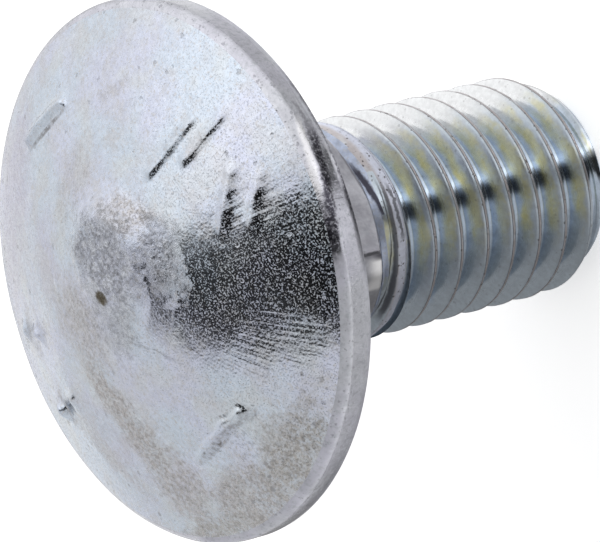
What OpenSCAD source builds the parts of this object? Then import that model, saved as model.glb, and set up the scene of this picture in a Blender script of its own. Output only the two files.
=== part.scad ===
// Carriage bolt: a cold-forged mushroom head, a square neck and a rolled right-hand thread.
// One piece of steel. The origin is the centre of the head's bearing face, and +Z points out
// through the dome, so the shank hangs below it. Depths are measured down from the bearing face.

/* [Head] */
// Diameter of the head over its rim
head_dia = 24.2; // [20:0.1:30]
// Height of the head from its bearing face to its top
head_height = 5.2; // [4.4:0.1:7]
// Height of the rim, from the bearing face to the foot of the dome
rim_height = 1.6; // [1.2:0.05:2.2]
// Rounding of the rim's upper edge
rim_round = 0.55; // [0.2:0.05:0.6]
// Rounding of the rim's lower edge
seat_round = 0.35; // [0.1:0.05:0.5]
// How far the dome's skirt bulges beyond a straight cone
skirt_bulge = 0.28; // [0.05:0.01:0.6]
// Diameter of the dome's flatter crown
crown_dia = 5.6; // [4:0.1:9]
// Height of the crown above the top of the skirt
crown_rise = 0.3; // [0.1:0.05:0.6]

/* [Punch land] */
// Diameter of the flat land that the forming punch leaves on the crown
land_dia = 3.9; // [2:0.1:5]
// Height of the land above the crown's middle
land_rise = 0.05; // [0.02:0.01:0.3]
// Width of the land's sloping edge for each millimetre that it goes down
land_slope = 1.1; // [0.2:0.1:2]
// Distance of the land from the bolt's axis
land_offset = 1.3; // [0:0.1:1.6]
// Direction of the land from the bolt's axis, in degrees
land_angle = 127; // [0:1:360]

/* [Square neck] */
// Width of the neck across its flats
neck_width = 9.9; // [9.6:0.05:10.6]
// Width of the neck over its rounded corners
neck_corner_dia = 12.9; // [11.6:0.1:13.6]
// Depth of the neck's full square
neck_depth = 5.2; // [4:0.1:8]
// Depth over which the corners run down to the shank
neck_taper = 1.3; // [0.6:0.05:1.6]
// Rounding where the neck meets the bearing face
neck_fillet = 0.4; // [0.1:0.05:0.6]

/* [Shank] */
// Length from the bearing face to the thread's end
shank_length = 20; // [14:0.5:36]
// Diameter of the plain collar between the neck and the thread
collar_dia = 9.5; // [9:0.05:9.6]
// Length of the collar that shows below the neck
collar_length = 0.1; // [0.05:0.05:1]
// Length of the shoulder that swells to the thread's full diameter
shoulder_length = 0.3; // [0.2:0.05:0.8]
// Diameter of the flat at the thread's end
end_dia = 8.1; // [8:0.05:8.8]
// Length of the chamfer at the thread's end
end_chamfer = 1.4; // [0.8:0.1:2]

/* [Thread] */
// Diameter over the thread's crests
thread_dia = 9.86; // [9.73:0.01:9.96]
// Pitch of the thread
thread_pitch = 1.5; // [1.35:0.05:1.75]
// Depth of the thread's groove
thread_depth = 0.88; // [0.6:0.01:0.92]
// Width of the groove's rounded root
root_width = 0.22; // [0.1:0.01:0.25]
// Angle between the groove's two flanks
flank_angle = 60; // [50:1:60]
// Plain length between the shoulder and the groove's first point
thread_lead = 0.1; // [0.05:0.05:1]
// Direction in which the groove starts, in degrees
thread_angle = 88; // [0:1:360]
// Turn over which the groove deepens, in degrees
runout_angle = 165; // [60:5:360]
// Turn over which the groove dies out at the thread's end, in degrees
fade_angle = 36; // [12:6:90]

/* [Hidden] */

STEEL = "lightsteelblue";
REVOLVE = 96;             // fineness of turned forms
TURN = 60;                // steps in one turn of the thread
ARC = 8;                  // steps in an arc of the dome
CORNER = 4;               // steps in a rounded edge
OVERLAP = 1;              // how deep one form reaches into the next
END_MARGIN = 0.12;        // plain metal left below the groove's last point
ROOT_ROUND = 0.04;        // how far the root's middle lies below its sides

head_r = head_dia / 2;
crown_r = crown_dia / 2;
crest_r = thread_dia / 2;
collar_r = collar_dia / 2;
taper_end = neck_depth + neck_taper;
collar_depth = taper_end + collar_length;
end_r = end_dia / 2;
root_r = crest_r - thread_depth;
flank = tan(flank_angle / 2);
crown_top = head_height - land_rise;
crown_z = crown_top - crown_rise;

// Points of an arc from p to q that bulges to the left of the way from p to q.
function arc_through(p, q, bulge, steps) =
    let (chord = norm(q - p), r = (chord * chord / 4 + bulge * bulge) / (2 * bulge),
         along = (q - p) / chord, left = [-along[1], along[0]],
         middle = (p + q) / 2 + left * (bulge - r), half = asin(chord / 2 / r))
    [for (i = [0:steps]) let (turn = half * (2 * i / steps - 1))
        middle + r * (along * sin(turn) + left * cos(turn))];

// Points of an arc round a centre.
function arc_about(centre, r, from, to, steps) =
    [for (i = [0:steps]) let (turn = from + (to - from) * i / steps)
        centre + r * [cos(turn), sin(turn)]];

// ---- Head ----

// Half section of the head, from its axis along the bearing face and back over the dome.
function head_section() =
    let (rim_top = [head_r - rim_round * (1 - cos(60)), rim_height - rim_round * (1 - sin(60))],
         skirt_top = [crown_r, crown_z])
    concat([[0, 0]],
           arc_about([head_r - seat_round, seat_round], seat_round, -90, 0, CORNER),
           arc_about([head_r - rim_round, rim_height - rim_round], rim_round, 0, 60, CORNER),
           arc_through(rim_top, skirt_top, -skirt_bulge, ARC),
           [[0, crown_top]]);

module head() {
    rotate_extrude($fn = REVOLVE) polygon(head_section());
}

// The flat land stands level on the crown, a little off the axis.
module punch_land() {
    rotate(land_angle) translate([land_offset, 0, head_height - OVERLAP])
        cylinder(h = OVERLAP, r1 = land_dia / 2 + land_slope * OVERLAP, r2 = land_dia / 2,
                 $fn = REVOLVE);
}

// ---- Neck ----

// The square prism's corners are rounded, and a cone runs them down to the shank.
module square_neck() {
    corner_r = neck_corner_dia / 2;
    intersection() {
        translate([-neck_width / 2, -neck_width / 2, -taper_end])
            cube([neck_width, neck_width, taper_end + OVERLAP]);
        rotate_extrude($fn = REVOLVE)
            polygon([[0, OVERLAP], [corner_r, OVERLAP], [corner_r, -neck_depth],
                     [collar_r - OVERLAP / 2, -taper_end], [0, -taper_end]]);
    }
}

// A small slope all round, where the neck meets the bearing face. It reaches into the neck.
module neck_root() {
    corner_r = neck_corner_dia / 2;
    wide = neck_width / 2 + neck_fillet;
    narrow = neck_width / 2 - OVERLAP;
    low = -neck_fillet - OVERLAP;
    intersection() {
        translate([0, 0, low])
            cylinder(h = OVERLAP - low, r1 = corner_r - OVERLAP,
                     r2 = corner_r + neck_fillet + OVERLAP, $fn = REVOLVE);
        intersection_for (turn = [0, 90])
            rotate([90, 0, turn]) linear_extrude(4 * wide, center = true)
                polygon([[-wide, OVERLAP], [-wide, 0], [-narrow, low],
                         [narrow, low], [wide, 0], [wide, OVERLAP]]);
    }
}

// ---- Threaded shank ----

// Radius of the shank before its groove is rolled, at a depth.
function blank_r(depth) =
    let (chamfer_top = shank_length - end_chamfer)
    depth < collar_depth ? collar_r
    : depth < collar_depth + shoulder_length
        ? collar_r + (crest_r - collar_r) * sin(90 * (depth - collar_depth) / shoulder_length)
    : depth < chamfer_top ? crest_r
    : crest_r - (crest_r - end_r) * (depth - chamfer_top) / end_chamfer;

groove_start = collar_depth + shoulder_length + thread_lead + root_width / 2;
groove_end = shank_length - END_MARGIN - root_width / 2;
STEPS = floor(TURN * (groove_end - groove_start) / thread_pitch);

// Depth of the groove's middle, and the turn of the bolt, at a step along the helix.
function groove_at(step) = groove_start + thread_pitch * step / TURN;
function turn_at(step) = thread_angle - 360 * step / TURN;

// Radius of the groove's bottom: it deepens at the start and dies out at the end.
function bottom_r(step) =
    let (grown = min(1, 360 * step / TURN / runout_angle),
         left = min(1, 360 * (STEPS - step) / TURN / fade_angle),
         blank = blank_r(groove_at(step)))
    min(blank, max(root_r, crest_r - thread_depth * grown, blank - thread_depth * left));

// Depth at which a flank that leaves the groove's bottom meets the blank's surface.
// way is -1 towards the head and 1 towards the end.
function flank_top(step, way) =
    let (side = groove_at(step) + way * root_width / 2, low = bottom_r(step),
         chamfer_top = shank_length - end_chamfer, fall = (crest_r - end_r) / end_chamfer,
         straight = side + way * flank * max(0, crest_r - low),
         sloped = (side + way * flank * (crest_r + fall * chamfer_top - low))
                  / (1 + way * flank * fall))
    straight <= chamfer_top ? straight : way * max(way * side, way * max(sloped, chamfer_top));

function on_shank(step, r, depth) = [r * cos(turn_at(step)), r * sin(turn_at(step)), -depth];

// The groove's section at a step: flank top, root side, root middle, root side, flank top.
function groove_section(step) =
    let (middle = groove_at(step), low = bottom_r(step), cut = blank_r(middle) - low,
         upper = flank_top(step, -1), lower = flank_top(step, 1))
    [on_shank(step, blank_r(upper), upper),
     on_shank(step, min(low, blank_r(middle - root_width / 2)), middle - root_width / 2),
     on_shank(step, low - ROOT_ROUND * min(1, cut / thread_depth), middle),
     on_shank(step, min(low, blank_r(middle + root_width / 2)), middle + root_width / 2),
     on_shank(step, blank_r(lower), lower)];

WIDE = len(groove_section(0));   // points in the groove's section

// Depths of the plain rings above the groove; the first lies inside the neck.
ring_depths = concat([neck_depth - OVERLAP],
                     [for (i = [0:3]) collar_depth + shoulder_length * i / 3]);
RINGS = len(ring_depths);
FIRST = RINGS * TURN;     // index of the groove's first point
LAST_RING = FIRST + (STEPS + 1) * WIDE;

function ring_point(row, step) = row * TURN + (step % TURN);
function groove_point(step, j) = FIRST + step * WIDE + j;
function end_point(step) = LAST_RING + (step % TURN);
// Two triangles, seen from outside: right top, right bottom, left bottom, left top.
function quad(rt, rb, lb, lt) = [[rt, rb, lb], [rt, lb, lt]];

shank_points = concat(
    [for (depth = ring_depths) for (i = [0:TURN - 1]) on_shank(i, blank_r(depth), depth)],
    [for (step = [0:STEPS]) for (p = groove_section(step)) p],
    [for (i = [0:TURN - 1]) on_shank(i, end_r, shank_length)]);

shank_faces = concat(
    [[for (i = [0:TURN - 1]) ring_point(0, i)]],
    [for (row = [0:RINGS - 2]) for (i = [0:TURN - 1]) for (f = quad(
        ring_point(row, i), ring_point(row + 1, i),
        ring_point(row + 1, i + 1), ring_point(row, i + 1))) f],
    // From the last plain ring to the groove's first turn.
    [for (i = [0:TURN - 2]) for (f = quad(
        ring_point(RINGS - 1, i), groove_point(i, 0),
        groove_point(i + 1, 0), ring_point(RINGS - 1, i + 1))) f],
    // The step where the first turn closes beside the groove's start.
    let (corner = groove_point(TURN - 1, 0),
         side = concat([groove_point(TURN, 0)], [for (j = [WIDE - 1:-1:0]) groove_point(0, j)],
                       [ring_point(RINGS - 1, 0), ring_point(RINGS - 1, TURN - 1)]))
        [for (i = [0:len(side) - 2]) [corner, side[i], side[i + 1]]],
    // The groove.
    [for (step = [0:STEPS - 1]) for (j = [0:WIDE - 2]) for (f = quad(
        groove_point(step, j), groove_point(step, j + 1),
        groove_point(step + 1, j + 1), groove_point(step + 1, j))) f],
    // The crest between one turn and the next.
    [for (step = [0:STEPS - TURN - 1]) for (f = quad(
        groove_point(step, WIDE - 1), groove_point(step + TURN, 0),
        groove_point(step + TURN + 1, 0), groove_point(step + 1, WIDE - 1))) f],
    // The step where the last turn opens beside the groove's end.
    let (open = STEPS - TURN, corner = groove_point(open + 1, WIDE - 1),
         side = concat([groove_point(open, WIDE - 1)],
                       [for (j = [0:WIDE - 1]) groove_point(STEPS, j)],
                       [end_point(STEPS), end_point(STEPS + 1)]))
        [for (i = [0:len(side) - 2]) [corner, side[i], side[i + 1]]],
    // From the groove's last turn to the end.
    [for (step = [STEPS - TURN + 1:STEPS - 1]) for (f = quad(
        groove_point(step, WIDE - 1), end_point(step),
        end_point(step + 1), groove_point(step + 1, WIDE - 1))) f],
    [[for (i = [TURN - 1:-1:0]) end_point(i)]]);

module threaded_shank() {
    polyhedron(points = shank_points, faces = shank_faces, convexity = 10);
}

// ---- The bolt ----

module carriage_bolt() {
    color(STEEL) union() {
        head();
        punch_land();
        square_neck();
        neck_root();
        threaded_shank();
    }
}

carriage_bolt();
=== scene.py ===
"""Looks of a zinc-plated carriage bolt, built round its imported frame.

The bolt is one forged piece: a mushroom head with raised marks, a square neck and a rolled
thread. It stands on its thread's end on a pale floor. Lengths here are in millimetres, and
each mesh is brought to metres at the end. Azimuths are in degrees about the bolt's axis, and
depths run down from the head's bearing face.
"""

import logging
import math
from collections.abc import Iterable
from dataclasses import dataclass, field
from enum import Enum

import bmesh
import bpy
from mathutils import Matrix, Vector, noise


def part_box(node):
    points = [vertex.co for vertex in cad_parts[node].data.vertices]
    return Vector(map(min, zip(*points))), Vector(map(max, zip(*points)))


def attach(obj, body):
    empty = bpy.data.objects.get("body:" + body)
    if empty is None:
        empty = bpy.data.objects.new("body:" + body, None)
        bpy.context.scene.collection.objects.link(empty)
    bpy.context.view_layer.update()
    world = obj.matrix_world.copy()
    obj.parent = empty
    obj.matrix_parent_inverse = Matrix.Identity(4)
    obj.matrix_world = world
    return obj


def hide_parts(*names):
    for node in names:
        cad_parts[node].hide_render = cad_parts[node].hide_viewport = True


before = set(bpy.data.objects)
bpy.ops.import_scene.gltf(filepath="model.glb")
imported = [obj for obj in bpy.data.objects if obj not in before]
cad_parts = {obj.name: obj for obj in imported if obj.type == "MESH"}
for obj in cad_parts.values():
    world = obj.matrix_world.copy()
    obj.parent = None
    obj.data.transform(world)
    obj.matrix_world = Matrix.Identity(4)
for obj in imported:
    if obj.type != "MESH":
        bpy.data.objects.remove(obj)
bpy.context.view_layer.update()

LOG = logging.getLogger("carriage_bolt")
MM = 0.001
NODE = "carriage_bolt"
BODY = "root"
ORIGIN = (0.0, 0.0, 0.0)
WHITE = (1.0, 1.0, 1.0, 1.0)
MIX_UNDER, MIX_OVER, MIX_COLOUR = 6, 7, 2
NEAR = 0.01
SLIVER = 1e-4

Point = tuple[float, float]
Colour = tuple[float, float, float]


# ---- Plain helpers ----


def bell(away: float, width: float) -> float:
    """Give the height of a bell curve at a distance from its middle."""
    return math.exp(-((away / width) ** 2))


def smooth_step(low: float, high: float, value: float) -> float:
    """Rise smoothly from 0 to 1 while a value goes from low to high."""
    share = min(1.0, max(0.0, (value - low) / (high - low)))
    return share * share * (3 - 2 * share)


def smooth_min(a: float, b: float, blend: float) -> float:
    """Take the lower of two values with a rounded meeting, over a width of blend."""
    share = max(0.0, blend - abs(a - b)) / blend
    return min(a, b) - share * share * blend / 4


def smooth_max(a: float, b: float, blend: float) -> float:
    """Take the higher of two values with a rounded meeting, over a width of blend."""
    return -smooth_min(-a, -b, blend)


def on_circle(radius: float, azimuth: float) -> Vector:
    """Give the level point at a radius and an azimuth in degrees."""
    turn = math.radians(azimuth)
    return Vector((radius * math.cos(turn), radius * math.sin(turn), 0.0))


def toward(azimuth: float, elevation: float) -> Vector:
    """Give the direction at an azimuth and an elevation in degrees."""
    lift = math.radians(elevation)
    return on_circle(math.cos(lift), azimuth) + Vector((0.0, 0.0, math.sin(lift)))


def spread(start: float, end: float, steps: int) -> list[float]:
    """List evenly spaced values with a number of steps between them, both ends included."""
    return [start + (end - start) * i / steps for i in range(steps + 1)]


def arc_about(centre: Point, radius: float, start: float, end: float, steps: int) -> list[Point]:
    """List the points of an arc round a centre, between two directions in degrees."""
    middle = Vector((*centre, 0.0))
    return [tuple((middle + on_circle(radius, turn)).xy) for turn in spread(start, end, steps)]


def arc_through(first: Point, last: Point, bulge: float, steps: int) -> list[Point]:
    """List the points of a flat arc that bulges to the right of the way from first to last.

    Args:
        first: First point.
        last: Last point.
        bulge: Height of the arc over its chord.
        steps: Number of gaps between the points.

    Returns:
        The points, both ends included.
    """
    start, end = Vector(first), Vector(last)
    chord = (end - start).length
    radius = (chord * chord / 4 + bulge * bulge) / (2 * bulge)
    along = (end - start) / chord
    out = Vector((along.y, -along.x))
    centre = (start + end) / 2 - out * (radius - bulge)
    half = math.asin(chord / 2 / radius)
    turns = spread(-half, half, steps)
    points = [centre + radius * (along * math.sin(t) + out * math.cos(t)) for t in turns]
    return [(p.x, p.y) for p in points]


def lathe(shape: bmesh.types.BMesh, outline: list[Point], steps: int, rise: float = 0.0) -> None:
    """Spin an outline once round the bolt's axis.

    Args:
        shape: The mesh that receives the turned form.
        outline: Radius and height of each point.
        steps: Number of columns.
        rise: Height gained in the turn, so that a thread's rows follow its helix.
    """
    verts = [shape.verts.new((radius, 0.0, height)) for radius, height in outline]
    edges = [shape.edges.new(pair) for pair in zip(verts, verts[1:])]
    bmesh.ops.spin(
        shape, geom=verts + edges, cent=(0, 0, 0), axis=(0, 0, 1), dvec=(0, 0, rise / steps),
        angle=math.tau, steps=steps, use_merge=rise == 0.0, use_normal_flip=False,
        use_duplicate=False,
    )
    bmesh.ops.remove_doubles(shape, verts=shape.verts, dist=SLIVER)


def rim_edges(shape: bmesh.types.BMesh, low: float, high: float) -> list[bmesh.types.BMEdge]:
    """Find a mesh's open edges between two heights."""
    return [
        edge for edge in shape.edges
        if edge.is_boundary and all(low <= vert.co.z <= high for vert in edge.verts)
    ]


def as_object(name: str, shape: bmesh.types.BMesh) -> bpy.types.Object:
    """Make a finished mesh an object of the scene, in metres.

    Args:
        name: The object's name.
        shape: The mesh in millimetres, which is freed.

    Returns:
        The object, neither moved nor scaled.
    """
    mesh = bpy.data.meshes.new(name)
    shape.to_mesh(mesh)
    shape.free()
    mesh.transform(Matrix.Scale(MM, 4))
    made = bpy.data.objects.new(name, mesh)
    bpy.context.scene.collection.objects.link(made)
    return made


# ---- The bolt's forms ----


class MarkKind(Enum):
    """Plain raised marks that a heading die can leave."""

    BAR = "bar"
    DOT = "dot"


@dataclass(frozen=True)
class ForgedMark:
    """One raised mark on the dome.

    Its place is a radius and an azimuth on the head, and a bar points along a direction.
    """

    kind: MarkKind
    radius: float
    azimuth: float
    length: float = 0.0
    direction: float = 0.0
    width: float = 0.62
    height: float = 0.15
    bow: float = 0.0
    ragged: float = 0.22
    ragged_scale: float = 1.5
    wear: float = 0.45
    wear_scale: float = 0.9
    slope: float = 0.4

    def relief(self, x: float, y: float) -> float:
        """Give the mark's height over the dome.

        Args:
            x: Place on the dome.
            y: Place on the dome.

        Returns:
            The height in millimetres.
        """
        place = on_circle(self.radius, self.azimuth)
        turn = math.radians(self.direction)
        along = (x - place.x) * math.cos(turn) + (y - place.y) * math.sin(turn)
        across = (y - place.y) * math.cos(turn) - (x - place.x) * math.sin(turn)
        half = self.length / 2
        if abs(along) > half + self.width or abs(across) > 2 * self.width:
            return 0.0
        if self.kind is MarkKind.BAR:
            across -= self.bow * (1 - (along / half) ** 2)
        past = max(0.0, abs(along) - half)
        uneven = noise.noise(Vector((x * self.ragged_scale, y * self.ragged_scale, 3.0)))
        away = math.hypot(past, across) + self.ragged * uneven * self.width
        wear = noise.noise(Vector((x * self.wear_scale, y * self.wear_scale, 7.0)))
        worn = 1 + self.wear * wear
        return worn * self.height * bell(away, self.slope * self.width)


DIE_MARKS = (
    ForgedMark(MarkKind.BAR, 8.8, 180.0, length=3.5, direction=83.0, bow=0.14, height=0.27),
    ForgedMark(MarkKind.BAR, 8.0, 353.0, length=4.1, direction=85.0, bow=0.1, height=0.19),
    ForgedMark(MarkKind.BAR, 7.3, 108.0, length=3.0, direction=97.0, height=0.1),
    ForgedMark(MarkKind.BAR, 8.5, 100.0, length=2.4, direction=97.0, height=0.1),
    ForgedMark(MarkKind.BAR, 7.9, 79.0, length=2.4, direction=131.0, height=0.09),
    ForgedMark(MarkKind.BAR, 9.2, 75.0, length=2.0, direction=131.0, height=0.09),
    ForgedMark(MarkKind.DOT, 9.9, 247.0, width=0.95, height=0.32),
    ForgedMark(MarkKind.DOT, 8.1, 250.0, width=0.95, height=0.32),
    ForgedMark(MarkKind.DOT, 9.6, 271.0, width=0.95, height=0.32),
    ForgedMark(MarkKind.DOT, 7.9, 275.0, width=0.95, height=0.32),
)


@dataclass
class MushroomHead:
    """The domed head: bearing face, rim, skirt, crown and raised marks."""

    radius: float
    height: float
    rim_height: float = 1.6
    rim_round: float = 0.55
    rim_lean: float = 60.0
    seat_round: float = 0.35
    skirt_bulge: float = 0.28
    crown_radius: float = 2.8
    crown_rise: float = 0.3
    land_radius: float = 1.95
    land_rise: float = 0.05
    land_slope: float = 1.1
    land_offset: float = 1.3
    land_azimuth: float = 127.0
    land_blend: float = 0.5
    inner_radius: float = 8.2
    columns: int = 416
    skirt_rows: int = 88
    swell: float = 0.03
    swell_scale: float = 0.33
    ripple: float = 0.008
    ripple_scale: float = 0.9
    crease_wander: float = 0.12
    crease_scale: float = 0.5
    crease_radius: float = 4.2
    crease_height: float = 0.012
    crease_width: float = 0.09
    pit_place: Point = (0.27, -0.31)
    pit_depth: float = 0.06
    pit_width: float = 0.2
    plain_edge: Point = (1.2, 0.5)
    wall_margin: float = 0.02
    rim_reach: float = 1.0
    out_of_round: float = 0.02
    marks: tuple[ForgedMark, ...] = DIE_MARKS

    def outline(self) -> list[Point]:
        """List the head's half section.

        Returns:
            Its points, from the bearing face's inner edge to the crown's middle.
        """
        top = self.height - self.land_rise
        rim_arc = arc_about(
            (self.radius - self.rim_round, self.rim_foot()), self.rim_round, 0, self.rim_lean, 6)
        seat_arc = arc_about(
            (self.radius - self.seat_round, self.seat_round), self.seat_round, -90, 0, 5)
        skirt = arc_through(
            rim_arc[-1], (self.crown_radius, top - self.crown_rise), self.skirt_bulge,
            self.skirt_rows)
        underside = [(r, 0.0) for r in spread(self.inner_radius, seat_arc[0][0], 5)]
        wall = [(self.radius, z) for z in spread(seat_arc[-1][1], rim_arc[0][1], 5)]
        crown = [
            (r, top - self.crown_rise * r / self.crown_radius)
            for r in spread(self.crown_radius, 0.0, 14)
        ]
        return underside[:-1] + seat_arc + wall[1:-1] + rim_arc[:-1] + skirt + crown[1:]

    def dome_relief(self, x: float, y: float, z: float) -> float:
        """Give the height of the dome's surface after forging.

        Args:
            x: Place on the dome.
            y: Place on the dome.
            z: Height of the plain turned dome there.

        Returns:
            The forged height.
        """
        radius = math.hypot(x, y)
        land = on_circle(self.land_offset, self.land_azimuth)
        past = math.hypot(x - land.x, y - land.y) - self.land_radius
        z = smooth_max(z, self.height - max(0.0, past) / self.land_slope, self.land_blend)
        z += self.swell * noise.noise(Vector((x, y, 0.0)) * self.swell_scale)
        z += self.ripple * noise.noise(Vector((x, y, 5.0)) * self.ripple_scale)
        wander = self.crease_wander * noise.noise(Vector((x, y, 9.0)) * self.crease_scale)
        z += self.crease_height * bell(radius - self.crease_radius - wander, self.crease_width)
        pit = math.hypot(x - self.pit_place[0], y - self.pit_place[1])
        z -= self.pit_depth * bell(pit, self.pit_width)
        inside = 1 - smooth_step(*(self.radius - edge for edge in self.plain_edge), radius)
        return z + inside * sum(mark.relief(x, y) for mark in self.marks)

    def rim_foot(self) -> float:
        """Give the height at which the rim's wall turns into its rounded edge."""
        return self.rim_height - self.rim_round

    def build(self, shape: bmesh.types.BMesh) -> None:
        """Turn the head and forge its dome and rim.

        Args:
            shape: The mesh that receives the head.
        """
        lathe(shape, self.outline(), self.columns)
        for vert in shape.verts:
            x, y, z = vert.co
            radius = math.hypot(x, y)
            if z > self.rim_foot() and radius < self.radius - self.wall_margin:
                vert.co.z = self.dome_relief(x, y, z)
            if radius > self.radius - self.rim_reach:
                around = noise.noise(Vector((x, y, 4 * z)) * 0.35)
                vert.co.xy *= 1 + self.out_of_round * around / self.radius


@dataclass
class SquareNeck:
    """The square neck under the head, with its corners run down to the shank."""

    half_width: float = 4.95
    corner_radius: float = 6.45
    depth: float = 5.2
    taper: float = 1.3
    root_slope: float = 0.4
    collar_radius: float = 4.75
    edge_round: float = 0.16
    rough: float = 0.012
    columns: int = 192

    def end_depth(self) -> float:
        """Give the depth at which the corners have reached the shank."""
        return self.depth + self.taper

    def ring_radius(self, azimuth: float, depth: float) -> float:
        """Give the neck's radius.

        Args:
            azimuth: Direction, in degrees.
            depth: Depth under the bearing face.

        Returns:
            The radius in millimetres.
        """
        turn = math.radians(azimuth)
        reach = max(abs(math.cos(turn)), abs(math.sin(turn)))
        root = self.root_slope * smooth_step(self.root_slope, 0.0, depth) ** 1.5
        flat = (self.half_width + root) / reach
        run = min(1.0, max(0.0, (depth - self.depth) / self.taper))
        corner = self.corner_radius + root - (self.corner_radius - self.collar_radius) * run
        return max(self.collar_radius, smooth_min(flat, corner, self.edge_round))

    def build(self, shape: bmesh.types.BMesh) -> None:
        """Turn a plain sleeve and press it to the square section.

        Args:
            shape: The mesh that receives the neck.
        """
        root = spread(0.0, self.root_slope, 4)
        flats = spread(self.root_slope, self.depth - 0.1, 7)[1:]
        cone = spread(self.depth, self.end_depth(), 12)
        lathe(shape, [(1.0, -depth) for depth in root + flats + cone], self.columns)
        for vert in shape.verts:
            x, y, z = vert.co
            radius = self.ring_radius(math.degrees(math.atan2(y, x)), -z)
            radius += self.rough * noise.noise(Vector((x * 3, y * 3, z * 0.7)))
            vert.co.xy *= radius


@dataclass
class ThreadedShank:
    """The rolled thread, its plain collar and shoulder, and the chamfered end."""

    length: float
    collar_radius: float
    neck_end: float
    gap: float = 0.05
    collar: float = 0.1
    crest_radius: float = 4.93
    shoulder: float = 0.3
    end_radius: float = 4.05
    end_chamfer: float = 1.4
    pitch: float = 1.5
    groove: float = 0.88
    root_half: float = 0.15
    flank_slope: float = math.tan(math.radians(30))
    lead: float = 0.21
    start_azimuth: float = 88.0
    runout: float = 165.0
    run_in: float = 1.35
    flank_rows: tuple[float, ...] = (0.2, 0.34, 0.48)
    crest_round: float = 0.08
    end_round: float = 0.12
    run_in_fade: Point = (0.55, 0.28)
    ridge: float = 0.16
    ridge_width: float = 0.09
    ridge_start: Point = (0.0, 0.06)
    ridge_fade: Point = (0.62, 0.1)
    worn_depth: float = 0.12
    rough: float = 0.012
    rough_scale: float = 2.2
    columns: int = 192

    def top(self) -> float:
        """Give the depth at which the shank's mesh starts."""
        return self.neck_end + self.gap

    def collar_end(self) -> float:
        """Give the depth at which the plain collar ends."""
        return self.neck_end + self.collar

    def row_offsets(self) -> list[float]:
        """List the rows of one pitch.

        Returns:
            Their distances from the groove's middle.
        """
        edge = self.root_half + self.groove * self.flank_slope
        half = [0.05, self.root_half, *self.flank_rows, edge - 0.055, edge, edge + 0.045]
        crest = [self.pitch / 2 - 0.05]
        below = [-value for value in reversed(half + crest)]
        return below + [0.0] + half + crest + [self.pitch / 2]

    def groove_start(self) -> float:
        """Give the depth of the groove's middle where it starts."""
        return self.collar_end() + self.shoulder + self.lead

    def blank_radius(self, depth: float) -> float:
        """Give the shank's radius before its groove is rolled.

        Args:
            depth: Depth under the bearing face.

        Returns:
            The radius in millimetres.
        """
        swell = smooth_step(self.collar_end(), self.collar_end() + self.shoulder, depth)
        radius = self.collar_radius + (self.crest_radius - self.collar_radius) * swell
        fall = (self.crest_radius - self.end_radius) / self.end_chamfer
        chamfer = self.crest_radius - fall * (depth - self.length + self.end_chamfer)
        return smooth_min(radius, chamfer, self.end_round)

    def surface_radius(self, azimuth: float, depth: float) -> float:
        """Give the radius of the threaded surface.

        Args:
            azimuth: Direction, in degrees.
            depth: Depth under the bearing face.

        Returns:
            The radius in millimetres.
        """
        behind = (self.start_azimuth - azimuth) % 360 / 360
        along = (depth - self.groove_start()) / self.pitch - behind
        if along < 0.5:
            along += self.run_in * behind * smooth_step(*self.run_in_fade, behind)
        turn = max(0, round(along))
        away = (along - turn) * self.pitch
        turned = turn + behind
        blank = self.blank_radius(depth)
        grown = min(1.0, turned * 360 / self.runout)
        if turned < 0.02 and abs(away) > 0.3:
            grown = 0.0
        cut = self.groove * grown
        flank = max(0.0, abs(away) - self.root_half) / self.flank_slope
        bottom = self.crest_radius - cut + flank
        swelling = smooth_step(*self.ridge_fade, turned) * smooth_step(*self.ridge_start, turned)
        bottom += self.ridge * bell(away, self.ridge_width) * swelling
        return smooth_min(blank, max(bottom, self.crest_radius - self.groove), self.crest_round)

    def build(self, shape: bmesh.types.BMesh) -> None:
        """Turn the shank along its helix, trim both ends and roll the groove.

        Args:
            shape: The mesh that receives the shank.
        """
        middle = -self.groove_start() - self.pitch * self.start_azimuth / 360
        turns = range(-2, math.ceil(self.length / self.pitch) - 2)
        heights = [
            middle - self.pitch * turn - offset for turn in turns for offset in self.row_offsets()
        ]
        lathe(shape, [(self.crest_radius, z) for z in heights], self.columns, self.pitch)
        for level, side in ((-self.top(), 1.0), (-self.length, -1.0)):
            bmesh.ops.bisect_plane(
                shape, geom=shape.verts[:] + shape.edges[:] + shape.faces[:], dist=SLIVER,
                plane_co=(0, 0, level), plane_no=(0, 0, side), clear_outer=True)
        for vert in shape.verts:
            x, y, z = vert.co
            radius = self.surface_radius(math.degrees(math.atan2(y, x)), -z)
            rough = noise.noise(Vector([axis * self.rough_scale for axis in (x, y, z)]))
            worn = smooth_step(self.worn_depth, 0.0, self.blank_radius(-z) - radius)
            radius += self.rough * rough * worn
            vert.co.xy *= radius / math.hypot(x, y)


# ---- Shader helpers ----


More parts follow.
